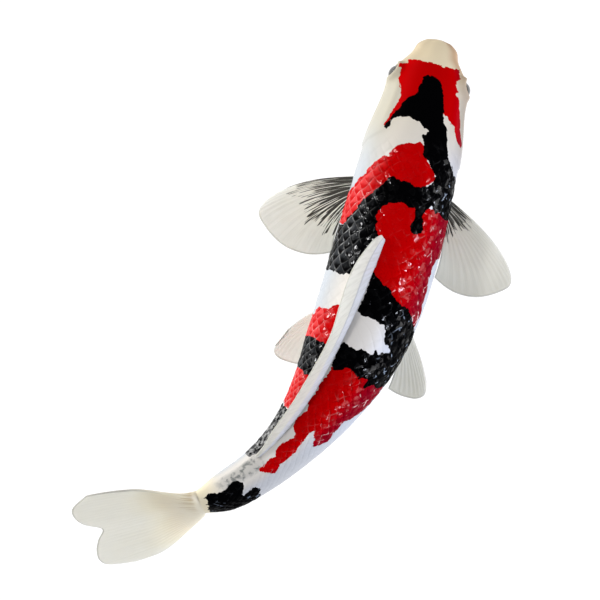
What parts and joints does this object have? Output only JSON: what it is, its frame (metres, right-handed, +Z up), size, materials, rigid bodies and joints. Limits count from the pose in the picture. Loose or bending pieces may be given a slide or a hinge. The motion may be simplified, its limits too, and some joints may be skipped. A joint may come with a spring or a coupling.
{
  "type": "koi figurine",
  "caption": "Glossy koi carp figurine with a hollow body bent to one side, raised scales, thin milky fins, set eyes and a felt pad to rest on.",
  "frame": {"origin": "middle of the felt pad's underside, on the table", "axes": "+Z up, +Y along the straight front of the body towards the nose, +X to the fish's right"},
  "size_m": [0.1856, 0.2978, 0.0726],
  "materials": {
    "back_enamel": "red, black and white enamel under gloss lacquer",
    "belly_enamel": "white enamel under gloss lacquer",
    "fin_vinyl": "milky soft vinyl, satin",
    "eye_print": "gold print with a black pupil",
    "eye_clear": "clear gloss",
    "barbel_vinyl": "beige soft vinyl",
    "pad_felt": "dark felt"
  },
  "bodies": {
    "root": {"back_shell": "back_enamel", "belly_shell": "belly_enamel", "dorsal_fin": "fin_vinyl", "tail_fin": "fin_vinyl", "anal_fin": "fin_vinyl", "left_pectoral_fin": "fin_vinyl", "right_pectoral_fin": "fin_vinyl", "left_pelvic_fin": "fin_vinyl", "right_pelvic_fin": "fin_vinyl", "left_eye_disc": "eye_print", "right_eye_disc": "eye_print", "left_eye_dome": "eye_clear", "right_eye_dome": "eye_clear", "left_barbel": "barbel_vinyl", "right_barbel": "barbel_vinyl", "left_lip_barbel": "barbel_vinyl", "right_lip_barbel": "barbel_vinyl", "belly_pad": "pad_felt"}
  },
  "joints": []
}
